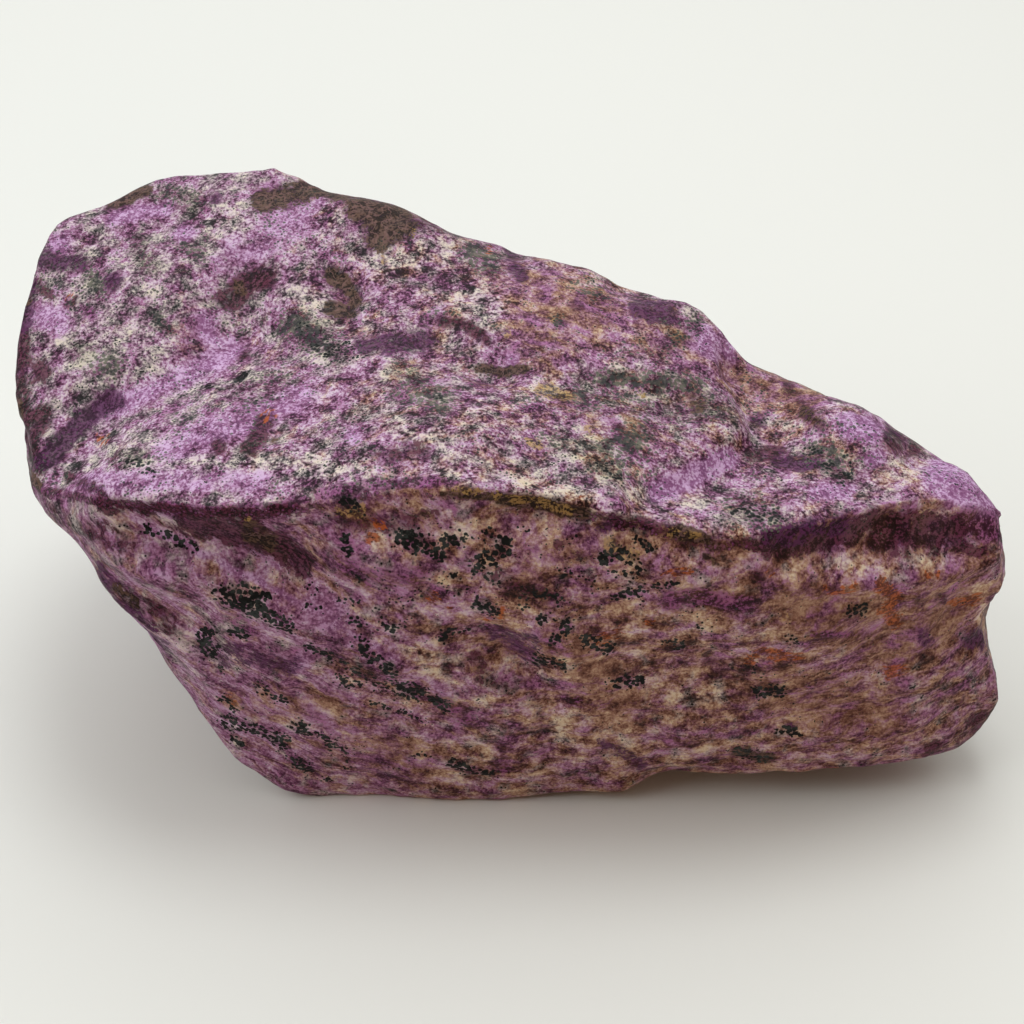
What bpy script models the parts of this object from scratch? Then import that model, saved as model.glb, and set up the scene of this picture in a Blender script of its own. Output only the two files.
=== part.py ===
"""Rough stichtite: one broken lump of purple stone, lying on a small flat spot.

The lump is a skin drawn over ribs, the way a hull is. Each rib is a ring of points on ten rails that run
from the left rim of the stone to its right rim, and a dome closes each end. Hollows, swells and ledges are
then sunk or raised in the skin, and what falls below the table is pressed flat, as the spot it rests on.
"""

import math
from typing import NamedTuple

import bmesh
import bpy
import numpy as np
from mathutils import Vector, geometry, noise

MM = 0.001

# The rails, in order round the stone: up the front, back over the top, down the back. The number is how
# softly the skin turns there, from 0, a sharp edge, to 1, a smooth swell.
RAILS = {
    "foot": 0.5,
    "belly": 1.0,
    "waist": 1.0,
    "lip": 0.7,
    "ridge": 0.22,
    "table": 1.0,
    "crest": 0.6,
    "back": 1.0,
    "heel": 0.7,
    "sole": 1.0,
}

# Points on each rib in millimetres: X to the right, Y away from the front, Z up from what it lies on. The
# three rows of a rib are foot, belly, waist, lip; ridge, table, crest; back, heel, sole.
LEFT_END = (-49.8, -2.0, 34.6)
RIBS = (
    # The left rim.
    (
        (-43.8, -14.6, 31.6), (-44.4, -15.4, 32.9), (-44.3, -15.6, 34.1), (-44.3, -15.1, 35.2),
        (-44.5, -13.6, 36.2), (-49.6, 1.0, 38.4), (-49.2, 21.4, 42.9),
        (-49.4, 18.0, 33.0), (-47.6, 2.0, 30.0), (-46.4, -6.0, 30.2),
    ),
    (
        (-38.6, -18.6, 25.6), (-38.9, -19.7, 28.6), (-38.7, -19.8, 31.8), (-38.0, -19.3, 35.2),
        (-37.6, -17.6, 38.4), (-40.0, 5.0, 40.3), (-39.9, 28.8, 43.8),
        (-41.0, 29.0, 30.0), (-40.5, 10.0, 20.0), (-40.2, -5.0, 20.6),
    ),
    (
        (-29.2, -20.8, 5.0), (-29.0, -22.6, 15.6), (-28.8, -22.6, 24.6), (-28.6, -21.0, 33.4),
        (-28.6, -20.2, 39.0), (-29.0, 5.0, 40.8), (-28.2, 29.2, 44.8),
        (-29.5, 31.0, 25.0), (-29.0, 16.0, 6.0), (-29.8, -4.0, 5.0),
    ),
    (
        (-19.4, -22.0, -1.4), (-18.6, -23.6, 10.0), (-18.6, -23.4, 21.0), (-18.6, -21.6, 33.0),
        (-18.6, -20.6, 39.8), (-18.6, 4.0, 41.4), (-18.5, 26.9, 44.2),
        (-18.6, 30.5, 22.0), (-18.6, 18.0, 0.6), (-19.2, -3.0, -0.9),
    ),
    (
        (-6.0, -22.4, -0.8), (-6.0, -24.2, 11.0), (-6.0, -24.4, 23.0), (-6.0, -22.4, 36.2),
        (-6.0, -20.0, 41.4), (-6.0, 2.0, 42.0), (-6.0, 20.7, 42.8),
        (-6.0, 28.0, 20.0), (-6.0, 18.5, 0.4), (-6.0, -2.0, -1.1),
    ),
    (
        (6.0, -22.8, 0.2), (6.0, -24.2, 10.5), (6.0, -24.4, 22.0), (6.0, -22.8, 35.0),
        (6.0, -20.8, 40.0), (6.0, -1.5, 41.0), (6.0, 16.9, 41.0),
        (6.0, 25.5, 20.0), (6.0, 17.5, 0.5), (6.0, -2.0, -0.9),
    ),
    (
        (17.0, -22.0, 2.0), (17.0, -23.6, 10.0), (17.0, -24.0, 20.5), (17.0, -23.4, 32.6),
        (17.0, -22.2, 37.4), (17.0, -5.0, 38.8), (17.4, 12.0, 39.5),
        (17.0, 22.5, 19.0), (17.0, 15.5, 2.8), (17.0, -2.0, 2.0),
    ),
    (
        (28.0, -22.6, 3.6), (28.4, -23.4, 10.0), (28.4, -22.6, 19.5), (28.2, -21.6, 30.6),
        (27.8, -19.4, 36.0), (28.0, -7.0, 36.6), (28.0, 3.9, 36.4),
        (28.4, 17.5, 17.0), (28.0, 13.0, 4.4), (28.0, -3.0, 4.4),
    ),
    (
        (39.4, -22.2, 4.2), (40.0, -22.4, 10.4), (40.0, -20.8, 18.4), (39.4, -19.4, 29.0),
        (38.0, -14.8, 35.1), (38.2, -9.0, 35.6), (38.4, -3.4, 35.0),
        (39.4, 11.5, 16.0), (39.0, 9.0, 5.6), (39.4, -5.0, 5.4),
    ),
    # The right rim, with the neck under its nose.
    (
        (49.1, -19.6, 4.8), (50.6, -18.2, 10.6), (48.2, -17.2, 21.0), (48.7, -16.3, 29.2),
        (48.6, -13.0, 32.4), (47.8, -11.0, 32.8), (46.8, -8.8, 32.6),
        (47.4, 4.0, 15.0), (46.4, 4.0, 6.6), (47.8, -7.0, 6.4),
    ),
)
RIGHT_END = (49.4, -7.0, 15.0)

# How many faces the skin has between one rail and the next, and between one rib and the next.
FACES_ROUND = (6, 7, 7, 4, 12, 10, 9, 8, 6, 6)
FACES_ALONG = (4, 5, 6, 7, 6, 6, 6, 6, 5)
# How many faces run from the rim of an end to its tip.
FACES_OF_END = 4


class Form(NamedTuple):
    """A hollow, swell or ledge, in millimetres: how high it stands, how far it reaches, and its middle line.

    A rise below 0 is a depth. A ledge also has the way in which it steps down, and acts on that side only.
    """

    rise: float
    reach: float
    line: tuple
    down: tuple = None


FORMS = {
    # The upper face.
    "valley below the dome": Form(
        -1.6, 6.0, ((-43.0, -10.5, 38.4), (-37.3, -6.6, 40.0), (-32.0, -1.2, 40.4), (-27.5, 4.8, 41.0))
    ),
    "dome": Form(0.9, 11.0, ((-42.0, 8.0, 40.5), (-34.0, 14.0, 42.0))),
    "chip in the left rim": Form(-1.3, 4.2, ((-44.6, -4.5, 38.8), (-41.5, -3.5, 39.8))),
    "facet of the left rim": Form(-0.5, 4.0, ((-48.6, -5.0, 36.6), (-48.8, 1.0, 38.4))),
    "deep violet scoop": Form(-0.8, 3.0, ((-43.6, -9.0, 38.4), (-40.4, -5.0, 39.6), (-38.4, -2.6, 40.2))),
    "brown dent": Form(-1.3, 3.6, ((-29.0, 12.0, 42.0), (-29.4, 9.6, 41.6))),
    "crescent dent": Form(-1.0, 2.6, ((-18.2, 12.0, 42.4), (-16.6, 9.4, 42.2), (-16.8, 7.4, 42.0))),
    "plate at the crest": Form(1.0, 5.5, ((-17.0, 22.0, 44.0), (-11.5, 18.5, 43.6))),
    "peak of the crest": Form(1.0, 2.8, ((-26.6, 29.0, 45.6),)),
    "dip past the peak": Form(-0.9, 3.6, ((-19.6, 27.0, 44.4), (-15.8, 25.6, 44.0))),
    "dip in the far edge": Form(-0.9, 4.0, ((12.6, 13.2, 40.6),)),
    "rim of the valley": Form(1.0, 3.4, ((22.4, 7.4, 37.6), (24.6, 7.0, 36.6))),
    "notch past the rim": Form(-0.4, 1.8, ((27.0, 6.6, 35.0),)),
    "dip in the far left edge": Form(-0.5, 3.4, ((-44.6, 25.0, 43.8),)),
    "shoulder of the far left edge": Form(0.5, 3.2, ((-38.6, 27.8, 44.6),)),
    "lump on the far edge": Form(0.9, 3.6, ((18.4, 10.4, 39.8),)),
    "notch of the far edge": Form(-0.8, 3.6, ((-0.2, 18.2, 42.2),)),
    "step across the middle": Form(
        -0.9,
        7.0,
        ((-6.6, 4.6, 42.2), (-2.6, 1.2, 42.0), (3.4, -1.0, 41.4), (9.4, -1.4, 40.6), (15.0, -2.6, 39.4)),
        (0.1, -1.0, 0.0),
    ),
    "hollow of the middle": Form(-0.7, 5.0, ((-8.5, -1.0, 42.0), (-3.0, -3.4, 42.0))),
    "olive pit": Form(-0.9, 2.2, ((-2.6, -2.4, 42.0), (-0.2, -2.6, 41.8))),
    "pit near the ridge": Form(-0.8, 2.4, ((-23.2, -11.0, 40.8), (-21.8, -10.4, 40.8))),
    "swell behind the ridge": Form(0.7, 6.0, ((-14.0, -13.0, 41.8), (-4.0, -13.5, 42.0))),
    "edge of the big break": Form(
        -2.0,
        9.0,
        (
            (22.8, 8.0, 38.2), (21.8, 3.0, 38.2), (22.8, -1.6, 37.8), (23.8, -5.6, 37.6),
            (21.4, -9.6, 37.8), (17.6, -13.2, 38.4), (12.0, -16.0, 39.4),
        ),
        (1.0, -0.25, 0.0),
    ),
    "bump past the break": Form(1.6, 6.5, ((32.6, -4.6, 36.2), (35.6, -5.4, 35.8))),
    "fall behind the bump": Form(-1.0, 4.0, ((38.2, -4.4, 35.2), (40.4, -8.0, 34.8))),
    "cheek of the nose": Form(0.9, 5.0, ((43.6, -11.0, 33.8),)),
    # The front face, from the ridge down.
    "overhang of the left rim": Form(
        -1.5,
        4.2,
        ((-35.6, -19.6, 35.8), (-29.6, -20.6, 35.0), (-24.4, -21.0, 34.2), (-21.4, -21.2, 33.6)),
    ),
    "cheek beside the overhang": Form(1.0, 4.6, ((-15.6, -22.0, 34.6), (-10.0, -22.4, 34.0))),
    "long rib of the front": Form(
        0.9,
        3.0,
        (
            (-36.0, -20.0, 32.0), (-28.6, -21.8, 30.6), (-22.4, -22.6, 28.0), (-16.4, -23.4, 24.6),
            (-10.6, -24.0, 21.6),
        ),
    ),
    "furrow beside the left edge": Form(
        -1.0, 3.4, ((-36.4, -20.6, 28.4), (-31.0, -21.6, 24.6), (-27.4, -22.4, 17.0))
    ),
    "waist of the left edge": Form(
        -1.6, 4.6, ((-37.6, -19.2, 22.0), (-35.4, -21.2, 19.2), (-33.4, -21.4, 15.6))
    ),
    "belly of the left edge": Form(
        0.9, 4.4, ((-29.0, -20.8, 5.6), (-26.6, -21.4, 3.8), (-23.6, -22.0, 1.6))
    ),
    "olive pocket under the ridge": Form(
        -1.6, 2.4, ((-0.6, -20.8, 39.6), (3.0, -20.9, 39.2), (6.6, -21.2, 38.8))
    ),
    "second pocket": Form(-1.0, 2.0, ((9.4, -21.4, 38.2), (12.0, -21.7, 37.8))),
    "deep pocket under the ridge": Form(-1.7, 2.6, ((15.6, -22.2, 36.6), (19.0, -22.0, 36.0))),
    "brow over the pockets": Form(
        0.7, 2.4, ((-8.0, -20.4, 41.4), (2.0, -20.8, 41.0), (10.0, -21.4, 39.8))
    ),
    "step of the front": Form(
        -1.3,
        6.0,
        ((-5.0, -24.0, 23.4), (1.6, -24.4, 19.4), (2.8, -24.4, 14.6), (1.8, -24.2, 10.6)),
        (0.9, 0.0, 0.5),
    ),
    "maroon dent": Form(-0.8, 3.6, ((-1.6, -24.2, 26.0), (0.8, -24.4, 22.0))),
    "cream lump": Form(1.1, 3.0, ((4.8, -24.4, 14.4),)),
    "hollow of the front": Form(-1.0, 7.0, ((12.0, -24.0, 21.0), (20.0, -23.4, 19.0))),
    "swell of the front": Form(0.8, 6.0, ((22.0, -23.2, 28.0), (30.0, -22.0, 25.0))),
    "chamfer of the right rim": Form(
        -0.8, 3.4, ((27.0, -20.6, 33.8), (34.0, -18.4, 33.4), (40.0, -16.6, 32.6))
    ),
    "step under the chamfer": Form(
        0.8,
        3.0,
        ((24.0, -22.2, 32.6), (32.0, -21.0, 31.0), (40.0, -19.0, 30.0), (46.0, -16.6, 29.6)),
        (0.0, 0.0, -1.0),
    ),
    "neck of the right end": Form(
        -1.0, 3.6, ((44.0, -18.4, 24.0), (47.4, -14.0, 23.0), (49.0, -8.0, 21.0))
    ),
    "lower furrow": Form(-0.7, 3.4, ((26.0, -22.6, 13.4), (36.0, -21.8, 13.0), (46.0, -18.6, 12.6))),
    "bottom notch": Form(-1.1, 3.6, ((16.6, -22.4, 3.0),)),
    "bottom lump": Form(0.8, 3.6, ((11.0, -22.8, 2.0),)),
    # The back, the left end and the underside.
    "great scoop of the back": Form(-2.6, 12.0, ((-31.0, 31.0, 26.0), (-19.0, 30.5, 21.0))),
    "ledge down the back": Form(
        -1.6,
        9.0,
        ((-9.0, 26.0, 41.0), (-4.0, 28.0, 30.0), (3.0, 26.5, 19.0), (6.0, 22.0, 6.0)),
        (1.0, 0.3, 0.0),
    ),
    "lump of the back": Form(1.5, 7.0, ((16.0, 20.5, 24.0), (21.0, 18.0, 15.0))),
    "small scoop of the back": Form(-1.4, 6.0, ((31.0, 12.0, 24.0), (36.0, 9.0, 18.0))),
    "back knuckle": Form(1.2, 6.0, ((-40.0, 27.0, 36.0),)),
    "split along the back": Form(-1.1, 3.0, ((-24.0, 28.0, 10.0), (-8.0, 27.0, 9.0), (8.0, 22.0, 12.0))),
    "scoop of the left end": Form(-2.0, 8.0, ((-44.0, 4.0, 27.0), (-38.0, 6.0, 17.0))),
    "ledge of the left end": Form(
        -1.2, 6.0, ((-42.0, -14.0, 28.0), (-37.0, -8.0, 19.0), (-31.0, -4.0, 8.0)), (-0.3, 1.0, -0.2)
    ),
    "hollow of the underside": Form(-1.0, 7.0, ((26.0, -4.0, 3.8), (36.0, -4.0, 5.0))),
    "ledge of the underside": Form(
        -0.9, 6.0, ((14.6, -16.0, 1.4), (16.0, 0.0, 1.6), (14.0, 12.0, 1.8)), (1.0, 0.0, 0.0)
    ),
}
# A ledge falls over this width.
LEDGE_WIDTH = 1.8

# Rough ground that is too small to name: size across and height of each roughness.
ROUGHNESS = ((11.0, 0.55), (5.2, 0.28), (2.9, 0.12))
# The back, the ends and the underside broke into shallow scoops: size across and depth of each. SCOOP_RIM
# lowers every scoop by this part of its depth, so that few rims stand above the skin.
SCOOPS = ((18.0, 3.8), (8.0, 1.2))
SCOOP_RIM = -0.5
# They grow with the turn of the skin away from the front and the top: from this turn on, to all of it at 1.
SCOOPED_TURN = 0.3
# They also fade out over these lengths, near the thin left end and round the middle of the resting spot.
SCOOPS_START = 14.0
REST_MIDDLE = Vector((-3.0, -6.0, 0.0))
REST_REACH = 24.0

# Where the skin would turn more sharply than this, it is worn round, by this many passes. Each pass moves a
# point this part of the way to the middle of its neighbours.
SHARPEST = math.radians(75.0)
WEAR_PASSES = 8
WEAR_STEP = 0.5

STONE_PURPLE = (0.24, 0.10, 0.22)
STONE_ROUGHNESS = 0.38


def clear_scene():
    for obj in list(bpy.data.objects):
        bpy.data.objects.remove(obj)


def spline(before, start, end, after, softness, steps):
    """Points on a curve from start up to end, which is as soft at each of the two as softness says."""
    steps_between = (start - before, end - start, after - end)
    gaps = [np.linalg.norm(step, axis=-1, keepdims=True) for step in steps_between]
    first, middle, last = (step / gap for step, gap in zip(steps_between, gaps))
    leave = (first * gaps[1] + middle * gaps[0]) / (gaps[0] + gaps[1]) * gaps[1] * softness[0]
    arrive = (middle * gaps[2] + last * gaps[1]) / (gaps[1] + gaps[2]) * gaps[1] * softness[1]
    points = []
    for step in range(steps):
        t = step / steps
        points.append(
            start * (2 * t**3 - 3 * t**2 + 1)
            + leave * (t**3 - 2 * t**2 + t)
            + end * (3 * t**2 - 2 * t**3)
            + arrive * (t**3 - t**2)
        )
    return points


def rows_along():
    """The ten rail points at every row of faces, from the left rim to the right rim."""
    ribs = [np.array(rib) for rib in RIBS]
    line = [2 * ribs[0] - ribs[1], *ribs, 2 * ribs[-1] - ribs[-2]]
    rows = []
    for i, steps in enumerate(FACES_ALONG):
        rows += spline(*line[i : i + 4], (1.0, 1.0), steps)
    return [*rows, ribs[-1]]


def ring_round(row):
    """The closed ring of skin points through one row's ten rail points."""
    softness = list(RAILS.values())
    count = len(softness)
    ring = []
    for i, steps in enumerate(FACES_ROUND):
        four = [row[(i + k) % count] for k in (-1, 0, 1, 2)]
        ring += spline(*four, (softness[i], softness[(i + 1) % count]), steps)
    return ring


def dome(ring, tip):
    """The rings that close an end, from its rim up to its tip, as a round dome would."""
    rim = np.array(ring)
    middle = rim.mean(axis=0)
    rings = []
    for step in range(1, FACES_OF_END):
        angle = math.pi / 2 * step / FACES_OF_END
        rings.append(middle + (rim - middle) * math.cos(angle) + (tip - middle) * math.sin(angle))
    return rings


def skin():
    """The skin over the ribs, as a closed bmesh in millimetres."""
    rings = [ring_round(row) for row in rows_along()]
    rings = [*reversed(dome(rings[0], LEFT_END)), *rings, *dome(rings[-1], RIGHT_END)]
    bm = bmesh.new()
    rows = [[bm.verts.new(point) for point in ring] for ring in rings]
    for near, far in zip(rows, rows[1:]):
        for i in range(len(near)):
            j = (i + 1) % len(near)
            bm.faces.new((near[i], near[j], far[j], far[i]))
    for end, row in ((LEFT_END, rows[0]), (RIGHT_END, rows[-1])):
        tip = bm.verts.new(end)
        for i in range(len(row)):
            bm.faces.new((tip, row[i], row[(i + 1) % len(row)]))
    bmesh.ops.recalc_face_normals(bm, faces=bm.faces[:])
    return bm


def smooth_step(value):
    """0 up to 0, 1 from 1 on, and a smooth rise between."""
    value = min(max(value, 0.0), 1.0)
    return value * value * (3 - 2 * value)


def nearest_on(line, point):
    """The point of a line of points that is nearest to a point."""
    points = [Vector(p) for p in line]
    found = [points[0]]
    for start, end in zip(points, points[1:]):
        place, along = geometry.intersect_point_line(point, start, end)
        found.append(start.lerp(end, min(max(along, 0.0), 1.0)))
    return min(found, key=lambda place: (place - point).length)


def rise_of(form, point):
    """How far a form lifts the skin at a point."""
    offset = point - nearest_on(form.line, point)
    away = offset.length / form.reach
    if away >= 1:
        return 0.0
    fade = (1 - away**2) ** 2
    if form.down:
        fade *= smooth_step(offset.dot(Vector(form.down).normalized()) / LEDGE_WIDTH + 0.5)
    return form.rise * fade


def roughness(point):
    """How far the rough ground stands at a point."""
    return sum(height * noise.noise(point / size) for size, height in ROUGHNESS)


def scoops(point, normal):
    """How far the scooped ground stands at a point: bowls with sharp rims, but none on the front and top."""
    turn = max(normal.y, -normal.z, abs(normal.x))
    shown = smooth_step((turn - SCOOPED_TURN) / (1 - SCOOPED_TURN))
    shown *= smooth_step((point.x - LEFT_END[0]) / SCOOPS_START)
    shown *= smooth_step((point - REST_MIDDLE).length / REST_REACH)
    bowls = 0.0
    for size, depth in SCOOPS:
        to_middle = noise.voronoi(point / size)[0][0]
        bowls += depth * (to_middle**2 + SCOOP_RIM)
    return shown * bowls


def wear(bm):
    """Rounds the skin where it turns too sharply."""
    for _ in range(WEAR_PASSES):
        bm.normal_update()
        sharp = {vert for edge in bm.edges if edge.calc_face_angle() > SHARPEST for vert in edge.verts}
        around = sharp | {edge.other_vert(vert) for vert in sharp for edge in vert.link_edges}
        ordered = [vert for vert in bm.verts if vert in around]
        bmesh.ops.smooth_vert(
            bm, verts=ordered, factor=WEAR_STEP, use_axis_x=True, use_axis_y=True, use_axis_z=True
        )


def sculpt(bm):
    """Raises and sinks the forms in the skin, roughens it, and presses the bottom flat."""
    bm.normal_update()
    for vert in bm.verts:
        lift = sum(rise_of(form, vert.co) for form in FORMS.values())
        lift += roughness(vert.co) + scoops(vert.co, vert.normal)
        vert.co += vert.normal * lift
    wear(bm)
    for vert in bm.verts:
        vert.co.z = max(vert.co.z, 0.0)


def centre(bm):
    """Moves the middle of the stone's plan to the origin."""
    xs = [v.co.x for v in bm.verts]
    ys = [v.co.y for v in bm.verts]
    middle = Vector(((min(xs) + max(xs)) / 2, (min(ys) + max(ys)) / 2, 0.0))
    bmesh.ops.translate(bm, vec=-middle, verts=bm.verts[:])


def stone_material():
    material = bpy.data.materials.new("stichtite")
    material.use_nodes = True
    shader = material.node_tree.nodes["Principled BSDF"]
    shader.inputs["Base Color"].default_value = (*STONE_PURPLE, 1.0)
    shader.inputs["Roughness"].default_value = STONE_ROUGHNESS
    shader.inputs["Metallic"].default_value = 0.0
    return material


def build():
    clear_scene()
    bm = skin()
    wear(bm)
    sculpt(bm)
    centre(bm)
    bmesh.ops.scale(bm, vec=(MM, MM, MM), verts=bm.verts[:])
    mesh = bpy.data.meshes.new("stone")
    bm.to_mesh(mesh)
    bm.free()
    mesh.shade_smooth()
    mesh.materials.append(stone_material())
    collection = bpy.data.collections.new("rough stichtite")
    bpy.context.scene.collection.children.link(collection)
    collection.objects.link(bpy.data.objects.new("stone", mesh))


build()
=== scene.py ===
"""Rough stichtite: the broken lump with its fine relief and its markings, on a pale floor in soft light."""

import math

import bmesh
import bpy
import numpy as np
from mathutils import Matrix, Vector, noise


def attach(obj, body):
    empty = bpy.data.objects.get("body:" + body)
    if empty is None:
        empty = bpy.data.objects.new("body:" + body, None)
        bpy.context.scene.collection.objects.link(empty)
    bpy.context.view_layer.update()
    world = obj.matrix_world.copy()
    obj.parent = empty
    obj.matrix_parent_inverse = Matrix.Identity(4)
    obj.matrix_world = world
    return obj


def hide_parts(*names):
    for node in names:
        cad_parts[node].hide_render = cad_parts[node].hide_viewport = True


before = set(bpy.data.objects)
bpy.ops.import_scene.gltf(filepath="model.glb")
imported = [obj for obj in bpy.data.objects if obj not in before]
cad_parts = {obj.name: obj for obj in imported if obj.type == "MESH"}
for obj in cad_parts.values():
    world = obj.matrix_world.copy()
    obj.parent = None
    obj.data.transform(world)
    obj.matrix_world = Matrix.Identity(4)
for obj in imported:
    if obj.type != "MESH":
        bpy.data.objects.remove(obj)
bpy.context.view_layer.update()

MM = 0.001

# The camera: what it looks at, how far off and how high it stands, in millimetres and degrees.
TARGET = Vector((0.28, -17.36, 33.0))
CAMERA_DISTANCE = 166.0
CAMERA_HEIGHT = math.radians(42.0)
LENS = 60.0
SENSOR = 36.0
PICTURE = 1024

# The ridge between the upper face and the front, as it crosses the camera's picture from left to right.
RIDGE = (
    (0, 470), (45, 484), (90, 493), (130, 500), (190, 505), (250, 508), (310, 503), (350, 492),
    (400, 487), (480, 488), (540, 497), (600, 510), (660, 525), (720, 540), (760, 541), (800, 528),
    (850, 512), (900, 500), (950, 497), (1024, 510),
)

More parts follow.
